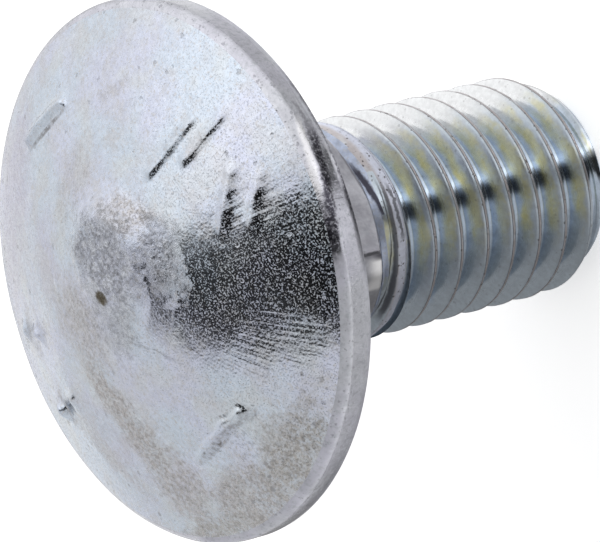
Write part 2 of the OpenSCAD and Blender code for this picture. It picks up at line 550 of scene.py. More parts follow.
class Value:
    """A number, colour or vector that a node tree puts out, with plain arithmetic on it."""

    def __init__(self, sheet: "Sheet", socket: bpy.types.NodeSocket) -> None:
        """Keep the socket and the tree that it belongs to."""
        self.sheet = sheet
        self.socket = socket

    def __add__(self, other: "Number") -> "Value":
        """Give the sum."""
        return self.sheet.math("ADD", self, other)

    def __sub__(self, other: "Number") -> "Value":
        """Give the difference."""
        return self.sheet.math("SUBTRACT", self, other)

    def __rsub__(self, other: float) -> "Value":
        """Give a plain number less this one."""
        return self.sheet.math("SUBTRACT", other, self)

    def __mul__(self, other: "Number") -> "Value":
        """Give the product."""
        return self.sheet.math("MULTIPLY", self, other)

    def __truediv__(self, other: "Number") -> "Value":
        """Give the quotient."""
        return self.sheet.math("DIVIDE", self, other)

    def __rtruediv__(self, other: float) -> "Value":
        """Give a plain number over this one."""
        return self.sheet.math("DIVIDE", other, self)

    def __abs__(self) -> "Value":
        """Give the number without its sign."""
        return self.sheet.math("ABSOLUTE", self)

    __radd__ = __add__
    __rmul__ = __mul__

    def step(self, low: float, high: float, start: float = 0.0, end: float = 1.0) -> "Value":
        """Rise smoothly from start to end while this number goes from low to high."""
        return self.sheet.node(
            "ShaderNodeMapRange",
            {"Value": self, "From Min": low, "From Max": high, "To Min": start, "To Max": end},
            interpolation_type="SMOOTHSTEP")["Result"]

    def upright(self) -> "Value":
        """Give an upright vector of this length."""
        return self.sheet.node("ShaderNodeCombineXYZ", {2: self})[0]

    def shifted(self, by: object) -> "Value":
        """Give this vector plus another."""
        return self.sheet.vector("ADD", self, by)

    def scaled(self, scale: "Number") -> "Value":
        """Give this vector times a number."""
        return self.sheet.node(
            "ShaderNodeVectorMath", {0: self, "Scale": scale}, operation="SCALE")[0]

    def dot(self, other: object) -> "Value":
        """Give the dot product with another vector."""
        return self.sheet.vector("DOT_PRODUCT", self, other, "Value")

    def length(self) -> "Value":
        """Give this vector's length."""
        return self.sheet.vector("LENGTH", self, result="Value")

    def level(self) -> "Value":
        """Give this place at height 0."""
        return self.sheet.vector("MULTIPLY", self, (1.0, 1.0, 0.0))

    def bearing(self, scale: float) -> "Value":
        """Give the level direction from the axis to this place, times a number."""
        return self.sheet.vector("NORMALIZE", self.level()).scaled(scale)

    def height(self) -> "Value":
        """Give this place's height."""
        return self.sheet.node("ShaderNodeSeparateXYZ", {0: self})[2]

    def azimuth(self) -> "Value":
        """Give this place's azimuth, in degrees."""
        axes = self.sheet.node("ShaderNodeSeparateXYZ", {0: self})
        return self.sheet.math("ARCTAN2", axes[1], axes[0]) * (180 / math.pi)

    def noise(self, scale: float, detail: float, roughness: float) -> "Value":
        """Give a smooth noise at this place, from about 0 to 1."""
        return self.sheet.node(
            "ShaderNodeTexNoise",
            {"Vector": self, "Scale": scale, "Detail": detail, "Roughness": roughness})[0]


Number = Value | float


class LaidNode:
    """A node of a tree, whose outputs are read by name or number."""

    def __init__(self, sheet: "Sheet", node: bpy.types.Node) -> None:
        """Keep the node and the tree that it belongs to."""
        self.sheet = sheet
        self.node = node

    def __getitem__(self, output: str | int) -> Value:
        """Give one of the node's outputs."""
        return Value(self.sheet, self.node.outputs[output])


class Sheet:
    """A node tree, with short calls that lay out its nodes."""

    def __init__(self, tree: bpy.types.NodeTree) -> None:
        """Keep the tree that the calls add to."""
        self.tree = tree

    def node(self, kind: str, values: dict[str | int, object] | None = None,
             **settings: object) -> LaidNode:
        """Add a node.

        Args:
            kind: The node's type name.
            values: What goes into its inputs: plain values, or values of the tree.
            **settings: The node's own settings.

        Returns:
            The new node.
        """
        node = self.tree.nodes.new(kind)
        for name, setting in settings.items():
            setattr(node, name, setting)
        for name, value in (values or {}).items():
            if isinstance(value, Value):
                self.tree.links.new(value.socket, node.inputs[name])
            else:
                node.inputs[name].default_value = value
        return LaidNode(self, node)

    def math(self, operation: str, *values: Number) -> Value:
        """Add a Math node and give its result."""
        return self.node("ShaderNodeMath", dict(enumerate(values)), operation=operation)[0]

    def vector(self, operation: str, a: Value, b: object = ORIGIN, result: str = "Vector") -> Value:
        """Add a Vector Math node and give its result."""
        return self.node("ShaderNodeVectorMath", {0: a, 1: b}, operation=operation)[result]

    def mix(self, mask: Value, under: Value | Colour, over: Value | Colour) -> Value:
        """Lay one colour over another through a mask."""
        under, over = ((*tone, 1.0) if isinstance(tone, tuple) else tone for tone in (under, over))
        return self.node(
            "ShaderNodeMix", {0: mask, MIX_UNDER: under, MIX_OVER: over},
            data_type="RGBA")[MIX_COLOUR]


def highest(first: Value, *others: Value) -> Value:
    """Give the highest of several numbers."""
    for other in others:
        first = first.sheet.math("MAXIMUM", first, other)
    return first


def layered(base: Value | Colour, *layers: tuple[Value, Colour]) -> Value:
    """Lay colours over a base in turn, each through its mask."""
    for mask, colour in layers:
        base = mask.sheet.mix(mask, base, colour)
    return base


def lit(base: Number, layers: Iterable[tuple[Value, float]]) -> Value:
    """Lay levels of light over a base in turn, each through its mask."""
    for mask, level in layers:
        base = base * (1.0 - mask) + mask * level
    return base


def open_material(name: str) -> tuple[bpy.types.Material, Sheet]:
    """Make an empty material.

    Args:
        name: The material's name.

    Returns:
        The material and its nodes.
    """
    material = bpy.data.materials.new(name)
    material.use_nodes = True
    material.node_tree.nodes.clear()
    return material, Sheet(material.node_tree)


# ---- Effects that the finishes share ----


class Effect:
    """A shader node group: it is laid out once, and each finish places it with its own values."""

    def __init__(self, name: str, **inputs: object) -> None:
        """Open the group.

        Args:
            name: The group's name.
            **inputs: Plain value of each input besides the place.
        """
        self.tree = bpy.data.node_groups.new(name, "ShaderNodeTree")
        for label, value in {"Place": ORIGIN, **inputs}.items():
            kind = "NodeSocketVector" if isinstance(value, tuple) else "NodeSocketFloat"
            socket = self.tree.interface.new_socket(name=label, in_out="INPUT", socket_type=kind)
            socket.default_value = value
        self.sheet = Sheet(self.tree)
        self.given = self.sheet.node("NodeGroupInput")

    def give(self, **results: Value) -> "Effect":
        """Put results out under their names.

        Args:
            **results: The group's outputs.

        Returns:
            This effect.
        """
        for label in results:
            self.tree.interface.new_socket(
                name=label, in_out="OUTPUT", socket_type="NodeSocketFloat")
        self.sheet.node("NodeGroupOutput", results)
        return self

    def at(self, place: Value, **values: object) -> LaidNode:
        """Place the group in the material that a place belongs to."""
        return place.sheet.node("ShaderNodeGroup", {"Place": place, **values}, node_tree=self.tree)


def plating_grain() -> Effect:
    """Lay out the plate's crystal grain: a fine height and a broader mottle.

    Returns:
        The effect.
    """
    effect = Effect("plating_grain", Size=0.1)
    spot = effect.given["Place"].scaled(1.0 / effect.given["Size"])
    coarse = spot.noise(1.0, 0.0, 0.5)
    fine = spot.shifted((7.3, 2.9, 4.1)).noise(2.1, 0.0, 0.5)
    mottle = spot.noise(0.33, 4.0, 0.75).step(0.3, 0.7)
    return effect.give(Height=0.8 * coarse + 0.2 * fine, Mottle=mottle)


def grit_specks() -> Effect:
    """Lay out scattered specks and pits of uneven size.

    Returns:
        The effect.
    """
    effect = Effect("grit_specks", Size=0.3, Share=0.3)
    sheet, given = effect.sheet, effect.given
    spot = given["Place"].scaled(1.0 / given["Size"])
    ragged = sheet.node("ShaderNodeTexNoise", {"Vector": spot, "Scale": 2.7, "Detail": 2.0})
    spot = spot.shifted(ragged["Color"].scaled(0.6))
    cells = sheet.node("ShaderNodeTexVoronoi", {"Vector": spot, "Scale": 1.0})
    draws = sheet.node("ShaderNodeSeparateColor", {0: cells["Color"]})
    inside = draws[1] * 0.3 - cells["Distance"]
    chosen = sheet.math("LESS_THAN", draws[0], given["Share"])
    return effect.give(Mask=chosen * inside.step(-0.08, 0.06))


def handling_scratches() -> Effect:
    """Lay out streaks that run along one direction.

    Returns:
        The effect.
    """
    effect = Effect(
        "handling_scratches", Along=(1.0, 0.0, 0.0), Spacing=0.1, Length=1.0, Level=0.62)
    place, along, spacing = (effect.given[name] for name in ("Place", "Along", "Spacing"))
    squeeze = spacing / effect.given["Length"] - 1.0
    spot = place.shifted(along.scaled(place.dot(along) * squeeze)).scaled(1.0 / spacing)
    over = spot.noise(1.0, 1.0, 0.5) - effect.given["Level"]
    return effect.give(Mask=over.step(0.0, 0.07))


def soft_patch() -> Effect:
    """Lay out an oval patch with a ragged, speckled edge.

    Returns:
        The effect.
    """
    effect = Effect("soft_patch", Centre=ORIGIN, Turn=0.0, Length=2.0, Width=1.0, Ragged=0.6)
    sheet, given = effect.sheet, effect.given
    place = given["Place"]
    away = sheet.vector("SUBTRACT", place, given["Centre"]).level()
    turned = sheet.node(
        "ShaderNodeVectorRotate", {"Vector": away, "Angle": given["Turn"] * -1.0},
        rotation_type="Z_AXIS")[0]
    halves = sheet.node("ShaderNodeCombineXYZ", {0: given["Length"], 1: given["Width"], 2: 1.0})[0]
    rough = place.noise(1.1, 7.0, 0.72) - 0.5
    reach = sheet.vector("DIVIDE", turned, halves).length() + rough * given["Ragged"] * 3.0
    fleck = place.noise(4.6, 3.0, 0.6).step(0.4, 0.6, 0.45, 1.0)
    return effect.give(Mask=reach.step(1.45, 0.55) * fleck)


def ring_band() -> Effect:
    """Lay out a band round the axis, between two azimuths, that climbs as it goes.

    Returns:
        The effect.
    """
    effect = Effect(
        "ring_band", Start=0.0, End=90.0, Height=0.0, Climb=0.0, Width=0.2, Fade=10.0, Ragged=0.1)
    given = effect.given
    place, start, end, fade = (given[name] for name in ("Place", "Start", "End", "Fade"))
    turn = place.azimuth()
    middle = given["Height"] + (turn - start) / (end - start) * given["Climb"]
    wobble = place.noise(2.2, 4.0, 0.65) - 0.5
    off = place.height() - middle + wobble * given["Ragged"]
    across = abs(off) / given["Width"]
    ends = ((turn - start) / fade).step(-0.5, 0.5) * ((end - turn) / fade).step(-0.5, 0.5)
    return effect.give(Mask=ends * across.step(1.5, 0.5))


@dataclass
class EffectKit:
    """The shared effects, each laid out once."""

    grain: Effect = field(default_factory=plating_grain)
    specks: Effect = field(default_factory=grit_specks)
    scratches: Effect = field(default_factory=handling_scratches)
    patch: Effect = field(default_factory=soft_patch)
    band: Effect = field(default_factory=ring_band)


@dataclass(frozen=True)
class Clouding:
    """A cloudy mask: its noise, and how far it rises between two of the noise's values."""

    scale: float
    detail: float
    roughness: float
    low: float
    high: float
    least: float = 0.0
    most: float = 1.0

    def mask(self, place: Value) -> Value:
        """Lay out the mask."""
        cloud = place.noise(self.scale, self.detail, self.roughness)
        return cloud.step(self.low, self.high, self.least, self.most)


FLECK_SHIFT = (3.1, 8.7, 1.9)


@dataclass(frozen=True)
class Speckle:
    """Scattered specks: how big their cells are, and the share of cells that holds one."""

    size: float
    share: float

    def mask(self, kit: EffectKit, place: Value) -> Value:
        """Lay out the specks' mask."""
        return kit.specks.at(place, Size=self.size, Share=self.share)["Mask"]


@dataclass(frozen=True)
class StainPatch:
    """A stain, a worn spot or a patch of painted shade on the dome, at a radius and an azimuth."""

    radius: float
    azimuth: float
    length: float
    width: float
    direction: float
    strength: float = 1.0
    ragged: float = 0.6

    def mask(self, kit: EffectKit, place: Value) -> Value:
        """Lay out the patch's mask, up to its strength."""
        return self.strength * kit.patch.at(
            place, Centre=tuple(on_circle(self.radius, self.azimuth)),
            Turn=math.radians(self.direction), Length=self.length, Width=self.width,
            Ragged=self.ragged)["Mask"]


@dataclass(frozen=True)
class RubbedPatch:
    """A patch of the dome with scratches that run along one azimuth."""

    zone: StainPatch
    along: float
    spacing: float
    length: float
    level: float

    def mask(self, kit: EffectKit, place: Value) -> Value:
        """Lay out the scratches' mask."""
        return self.zone.mask(kit, place) * kit.scratches.at(
            place, Along=tuple(on_circle(1.0, self.along)), Spacing=self.spacing,
            Length=self.length, Level=self.level)["Mask"]


@dataclass(frozen=True)
class WornBand:
    """A band part of the way round the bolt, at a height: worn, dark or pale, or a painted shade or
    highlight on the rim, neck and thread.
    """

    start: float
    end: float
    height: float
    width: float
    strength: float
    climb: float = 0.0
    fade: float = 12.0
    ragged: float = 0.1

    def mask(self, kit: EffectKit, place: Value) -> Value:
        """Lay out the band's mask, up to its strength."""
        return self.strength * kit.band.at(
            place, Start=self.start, End=self.end, Height=self.height, Climb=self.climb,
            Width=self.width, Fade=self.fade, Ragged=self.ragged)["Mask"]


VIOLET_EDGE = (
    StainPatch(9.6, 214.0, 4.6, 1.6, 304.0, 0.8, 0.5),
    StainPatch(7.2, 226.0, 2.4, 1.0, 316.0, 0.4, 0.7),
    StainPatch(5.6, 222.0, 2.0, 1.4, 310.0, 0.4, 0.8),
    StainPatch(8.1, 295.0, 2.2, 1.6, 350.0, 0.4, 0.9),
)

# Dark patches at the raised marks: mostly painted shade along one side of each bar and round the
# dots, with some grime.
MARK_GRIME_AND_PAINTED_SHADE = (
    StainPatch(7.5, 107.0, 1.6, 0.35, 97.0, 0.5, 0.5),
    StainPatch(8.6, 99.0, 1.3, 0.35, 97.0, 0.5, 0.5),
    StainPatch(8.0, 76.5, 1.3, 0.4, 131.0, 0.6, 0.5),
    StainPatch(9.3, 73.0, 1.1, 0.4, 131.0, 0.6, 0.5),
    StainPatch(9.0, 248.5, 1.2, 0.6, 340.0, 0.9, 0.9),
    StainPatch(8.8, 273.0, 1.2, 0.6, 0.0, 0.9, 0.9),
    StainPatch(8.36, 180.0, 1.7, 0.13, 83.0, 1.7, 0.25),
    StainPatch(3.5, 57.0, 0.8, 0.65, 140.0, 1.0, 0.6),
    StainPatch(8.17, 354.0, 2.0, 0.2, 84.0, 1.3, 0.25),
    StainPatch(8.5, 9.0, 0.5, 0.3, 81.0, 1.0, 0.4),
)

STRAW_STAINS = (
    StainPatch(5.0, 170.0, 1.9, 1.0, 110.0, 0.35, 1.0),
    StainPatch(3.3, 120.0, 1.7, 0.35, 25.0, 0.8, 0.8),
    StainPatch(3.8, 112.0, 1.3, 0.8, 30.0, 0.9, 0.8),
    StainPatch(2.9, 268.0, 2.3, 1.3, 340.0, 0.7, 1.0),
    StainPatch(5.9, 306.0, 2.4, 0.9, 350.0, 1.0, 1.1),
    StainPatch(7.6, 317.0, 2.4, 1.0, 350.0, 0.95, 1.1),
    StainPatch(9.4, 325.0, 2.2, 1.5, 340.0, 0.85, 1.1),
    StainPatch(8.4, 141.0, 0.9, 0.35, 70.0, 0.3, 0.9),
    StainPatch(10.6, 345.0, 3.0, 1.4, 70.0, 0.9, 1.0),
    StainPatch(9.0, 290.0, 3.0, 0.6, 10.0, 0.4, 1.2),
)

OLIVE_STAINS = (
    StainPatch(10.8, 8.0, 2.6, 1.3, 98.0, 1.0, 0.9),
    StainPatch(4.2, 252.0, 1.4, 0.8, 340.0, 0.4, 1.0),
    StainPatch(11.4, 330.0, 2.6, 0.6, 60.0, 0.8, 1.0),
)

CROWN_WEAR = (
    StainPatch(1.4, 127.0, 2.0, 1.8, 0.0, 1.0, 0.8),
    StainPatch(1.2, 330.0, 1.7, 1.3, 330.0, 0.6, 1.0),
    StainPatch(3.9, 72.0, 1.5, 0.9, 160.0, 0.8, 0.8),
)

RIM_PITS = (
    WornBand(-180.0, 180.0, 1.6, 0.7, 1.0, fade=0.1, ragged=0.8),
)

# Painted shade and painted reflection on the rim: a dark band down its rounded edge, a faint one on
# its wall and one along its lower edge.
RIM_PAINTED_SHADE = (
    WornBand(56.0, 84.0, 1.62, 0.21, 0.95, climb=-0.95, fade=8.0, ragged=0.4),
    WornBand(80.0, 91.0, 0.75, 0.14, 0.5, fade=6.0, ragged=0.45),
    WornBand(60.0, 98.0, 0.1, 0.22, 0.85, fade=10.0, ragged=0.3),
)

RIM_MATT = (WornBand(-40.0, 56.0, 1.55, 0.3, 1.0, fade=6.0, ragged=0.2),)

RIM_DUST = (WornBand(-110.0, 34.0, 2.1, 0.4, 1.0, fade=24.0, ragged=0.3),)

# Painted highlight: a pale streak down the rim's rounded edge.
RIM_PAINTED_HIGHLIGHT = (WornBand(69.0, 86.0, 1.6, 0.14, 0.55, climb=-0.5, fade=4.0, ragged=0.25),)

NECK_RUBBED = (WornBand(32.0, 47.0, -5.5, 0.85, 1.0, fade=3.0, ragged=0.3),)

# Painted shade on the neck: dark lines at the corner's edge and at the neck's end, a dark patch
# below the end, and a broad darker band on one side.
NECK_PAINTED_SHADE = (
    WornBand(46.6, 49.0, -5.6, 0.66, 0.8, fade=1.5, ragged=0.3),
    WornBand(20.0, 105.0, -6.25, 0.07, 0.55, fade=16.0, ragged=0.12),
    WornBand(60.0, 96.0, -7.02, 0.12, 0.95, climb=0.52, fade=16.0, ragged=0.25),
    WornBand(-60.0, 30.0, -5.4, 0.9, 0.35, fade=30.0, ragged=0.4),
)

FIRST_CREST = (WornBand(-40.0, 150.0, -7.79, 0.3, 1.0, climb=0.16, fade=30.0),)

# Painted shade at the thread's lead-in: two dark lines along the first groove's edges and a dark
# patch on the first crest.
LEAD_IN_PAINTED_SHADE = (
    WornBand(2.0, 80.0, -7.08, 0.06, 0.8, climb=-0.1, fade=14.0, ragged=0.12),
    WornBand(2.0, 80.0, -7.27, 0.09, 0.85, climb=-0.1, fade=14.0, ragged=0.12),
    WornBand(50.0, 78.0, -7.72, 0.09, 0.8, climb=0.08, fade=8.0, ragged=0.5),
)

CROWN_PIT = (StainPatch(0.41, 311.0, 0.36, 0.27, 20.0, 2.0, 0.15),)

RUBBED = (
    RubbedPatch(StainPatch(2.92, 354.0, 2.2, 0.15, 29.5, 1.0, 0.1), 29.5, 0.2, 1.6, 0.38),
    RubbedPatch(StainPatch(6.1, 318.0, 1.4, 0.14, 334.0, 1.0, 0.2), 334.0, 0.15, 1.2, 0.5),
    RubbedPatch(StainPatch(9.0, 359.0, 1.1, 0.8, 85.0, 0.9, 0.5), 352.0, 0.09, 1.4, 0.56),
    RubbedPatch(StainPatch(7.6, 128.0, 3.4, 2.4, 30.0, 0.5, 0.6), 75.0, 0.08, 1.2, 0.66),
)


# ---- Finishes ----


@dataclass(frozen=True)
class Finish:
    """What every finish of the bolt has: a name and the shared effects."""

    name: str
    kit: EffectKit = field(repr=False)

    def open(self) -> tuple[bpy.types.Material, Value]:
        """Open a material and give it with the place on the piece, in millimetres."""
        material, sheet = open_material(self.name)
        return material, sheet.node("ShaderNodeTexCoord")["Object"].scaled(1 / MM)

    def together(self, place: Value, *groups: tuple[StainPatch | RubbedPatch | WornBand, ...]
                 ) -> list[Value]:
        """Join each group of patches or bands into one mask, the strongest on top."""
        return [highest(*(mark.mask(self.kit, place) for mark in group)) for group in groups]

    def metal(self, colour: Value, roughness: Value, height: Value) -> None:
        """Close a material with its metal shader.

        Args:
            colour: The metal's colour.
            roughness: Its roughness.
            height: Its relief, in millimetres.
        """
        sheet = colour.sheet
        bump = sheet.node("ShaderNodeBump", {"Strength": 1.0, "Distance": MM, "Height": height})
        shader = sheet.node(
            "ShaderNodeBsdfPrincipled",
            {"Base Color": colour, "Metallic": 1.0, "Roughness": roughness, "Normal": bump[0]})
        sheet.node("ShaderNodeOutputMaterial", {"Surface": shader[0]})


@dataclass(frozen=True)
class StruckZinc(Finish):
    """The dome's plate: pale blue over the die's fine grain, with straw stains, grit and painted
    shade beside the raised marks.
    """

    lavender: Colour = (0.605, 0.635, 0.76)
    blue: Colour = (0.585, 0.655, 0.75)
    cream: Colour = (0.625, 0.65, 0.65)
    dust: Colour = (0.545, 0.54, 0.555)
    frost: Colour = (0.71, 0.735, 0.79)
    violet: Colour = (0.47, 0.46, 0.55)
    straw: Colour = (0.53, 0.51, 0.51)
    olive: Colour = (0.47, 0.455, 0.44)
    crown_grey: Colour = (0.38, 0.40, 0.46)
    # Dark colour of dirt, specks, grit and scratches, also used for the painted shade beside the
    # raised marks.
    dirt_and_painted_shade: Colour = (0.17, 0.165, 0.17)
    pit_brown: Colour = (0.10, 0.085, 0.06)
    bluing: Clouding = Clouding(0.28, 2.0, 0.5, 0.38, 0.62)
    warming: Clouding = Clouding(0.45, 2.0, 0.5, 0.48, 0.62, most=0.45)
    dusting: Clouding = Clouding(0.7, 6.0, 0.75, 0.46, 0.68, most=0.6)
    flecks: Clouding = Clouding(6.5, 2.0, 0.6, 0.52, 0.7, most=0.8)
    frosting: Clouding = Clouding(6.5, 2.0, 0.6, 0.44, 0.28, most=0.5)
    glints: Clouding = Clouding(12.5, 1.0, 0.6, 0.5, 0.66, most=0.42)
    specks: Speckle = Speckle(0.42, 0.16)
    grit: Speckle = Speckle(0.17, 0.35)
    blots: Speckle = Speckle(0.5, 0.75)
    gloss: float = 0.07
    stain_shade: float = 0.35
    speck_shade: float = 0.4
    rub_shade: float = 0.45
    pebble_matt: float = 0.06
    stain_matt: float = 0.14
    grain_size: float = 0.115
    grain_height: float = 0.0052
    pebble_size: float = 0.34
    pebble_height: float = 0.006
    streaks_round: float = 56.0
    streaks_start: Point = (5.6, 8.2)
    streaks_end: Point = (11.6, 11.1)
    streak_height: float = 0.0095
    speck_depth: float = 0.012
    rub_depth: float = 0.008
    crown_height: float = 0.09
    stain_grain: Point = (0.58, 0.38)
    crown_grain: Point = (0.5, 0.66)

    def streaks(self, place: Value) -> Value:
        """Lay out the fine radial lines that the die leaves near the rim.

        Args:
            place: Place on the piece, in millimetres.

        Returns:
            Their height, from 0 to 1.
        """
        radius = place.level().length()
        spot = place.bearing(self.streaks_round).shifted((radius * 0.5).upright())
        zone = radius.step(*self.streaks_start) * radius.step(*self.streaks_end)
        return self.kit.grain.at(spot, Size=1.0)["Height"] * zone

    def build(self) -> bpy.types.Material:
        """Lay out the material.

        Returns:
            The material.
        """
        material, place = self.open()
        grain = self.kit.grain.at(place, Size=self.grain_size)
        pebble = self.kit.grain.at(place, Size=self.pebble_size)
        specks, grit, blots = (
            kind.mask(self.kit, place) for kind in (self.specks, self.grit, self.blots))
        straw, olive, crown, pit, rub, violet, mark_grime_and_painted_shade, edge = self.together(
            place, STRAW_STAINS, OLIVE_STAINS, CROWN_WEAR, CROWN_PIT, RUBBED, VIOLET_EDGE,
            MARK_GRIME_AND_PAINTED_SHADE, RIM_DUST)
        stained = highest(straw, olive, crown)

        shade = (0.16 + 0.22 * stained) * (1.0 - grain["Mottle"])
        # Dirt, specks and scratches darken the plate, with the painted shade beside the raised
        # marks.
        shade = highest(
            shade + self.stain_shade * stained * grain["Height"].step(*self.stain_grain),
            grit * (0.1 + 0.35 * stained), self.speck_shade * specks, self.rub_shade * rub,
            mark_grime_and_painted_shade * (0.5 + 0.4 * blots), edge * (0.12 + 0.5 * blots))
        fleck_place = place.shifted(FLECK_SHIFT)
        colour = layered(
            self.lavender, (self.bluing.mask(place), self.blue),
            (self.warming.mask(place), self.cream), (self.dusting.mask(place), self.dust),
            (self.flecks.mask(fleck_place), self.dust),
            (self.frosting.mask(fleck_place), self.frost), (violet, self.violet),
            (straw, self.straw), (olive, self.olive), (crown, self.crown_grey),
            (0.7 * crown * pebble["Height"].step(*self.crown_grain), self.frost),
            (shade, self.dirt_and_painted_shade), (pit, self.pit_brown))
        rough = (self.gloss + self.pebble_matt * pebble["Mottle"] + self.stain_matt * stained
                 + self.glints.mask(place))
        height = (
            self.grain_height * grain["Height"] + self.pebble_height * pebble["Height"]
            + self.streak_height * self.streaks(place) - self.speck_depth * specks
            - self.rub_depth * rub + self.crown_height * crown * pebble["Height"])
        self.metal(colour, rough, height)
        return material


@dataclass(frozen=True)
class SmoothZinc(Finish):
    """The plate on the rim, the underside and the neck: smoother, with pits along the edge, painted
    shade and a painted highlight on the rim, and painted shade on the neck.
    """

    grey: Colour = (0.625, 0.635, 0.68)
    lilac: Colour = (0.61, 0.61, 0.68)
    dust: Colour = (0.48, 0.495, 0.535)
    neck_grey: Colour = (0.44, 0.44, 0.48)
    # Pale colour of the neck's rubbed corner, also used for the painted highlight on the rim.
    rubbed_and_painted_sheen: Colour = (0.93, 0.92, 0.93)
    shoulder_blue: Colour = (0.50, 0.56, 0.70)
    # Dark tone of the plate's pits and mottling, also used for the painted shade on the rim and the
    # neck.
    pits_and_painted_shade: Colour = (0.045, 0.042, 0.058)
    tinting: Clouding = Clouding(0.3, 2.0, 0.5, 0.4, 0.6)
    flecks: Clouding = Clouding(4.5, 4.0, 0.7, 0.48, 0.66, most=0.75)
    # Blots that break up the rim's painted shade.
    painted_shade_blots: Clouding = Clouding(9.0, 2.0, 0.6, 0.66, 0.46, 0.45, 1.0)
    pits: Speckle = Speckle(0.32, 0.7)
    fine_pits: Speckle = Speckle(0.18, 0.8)
    neck_top: Point = (-0.1, -0.5)
    shoulder_top: Point = (-6.2, -6.5)
    edge_above: Point = (0.5, 0.2)
    edge_below: Point = (-0.5, 0.0)
    gloss: float = 0.18
    grain_matt: float = 0.08
    rim_matt: float = 0.4
    neck_matt: float = 0.1
    shoulder_matt: float = 0.12
    edge_matt: float = 0.35
    grain_size: float = 0.14
    grain_height: float = 0.005
    broad_size: float = 0.5
    broad_height: float = 0.01
    pit_depth: float = 0.02
    scratch_depth: float = 0.002

    def build(self) -> bpy.types.Material:
        """Lay out the material.

        Returns:
            The material.
        """
        material, place = self.open()
        grain = self.kit.grain.at(place, Size=self.grain_size)
        broad = self.kit.grain.at(place, Size=self.broad_size)
        pits, fine = (kind.mask(self.kit, place) for kind in (self.pits, self.fine_pits))
        drawn = self.kit.scratches.at(
            place, Along=(0.0, 0.0, 1.0), Spacing=0.12, Length=2.5, Level=0.6)["Mask"]
        up = place.height()
        neck = up.step(*self.neck_top)
        shoulder = up.step(*self.shoulder_top)
        edge = up.step(*self.edge_above) * up.step(*self.edge_below)
        rim, pits_and_painted_shade, matt, rubbed_and_painted_sheen, neck_shade = self.together(
            place, RIM_PITS, RIM_PAINTED_SHADE, RIM_MATT, NECK_RUBBED + RIM_PAINTED_HIGHLIGHT, NECK_PAINTED_SHADE)

        worn = highest(pits, fine) * (0.1 + 0.3 * rim)
        # Pits and mottling darken the plate, and the rim's painted shade is laid in with them.
        shade = highest((1.0 - broad["Mottle"]) * (0.2 + 0.25 * neck), worn,
                        pits_and_painted_shade * self.painted_shade_blots.mask(place))
        # The neck's rubbed corner and the rim's painted highlight are laid in pale, then the neck's
        # painted shade.
        colour = layered(
            self.grey, (self.tinting.mask(place), self.lilac), (neck, self.neck_grey),
            (shoulder, self.shoulder_blue),
            (self.flecks.mask(place.shifted(FLECK_SHIFT)), self.dust), (shade, self.pits_and_painted_shade),
            (rubbed_and_painted_sheen, self.rubbed_and_painted_sheen), (neck_shade, self.pits_and_painted_shade))
        rough = (self.gloss + self.grain_matt * grain["Mottle"] + self.rim_matt * matt
                 + self.neck_matt * neck + self.edge_matt * edge + self.shoulder_matt * shoulder)
        height = (self.grain_height * grain["Height"] + self.broad_height * broad["Height"]
                  - self.pit_depth * worn - self.scratch_depth * drawn)
        self.metal(colour, rough, height)
        return material


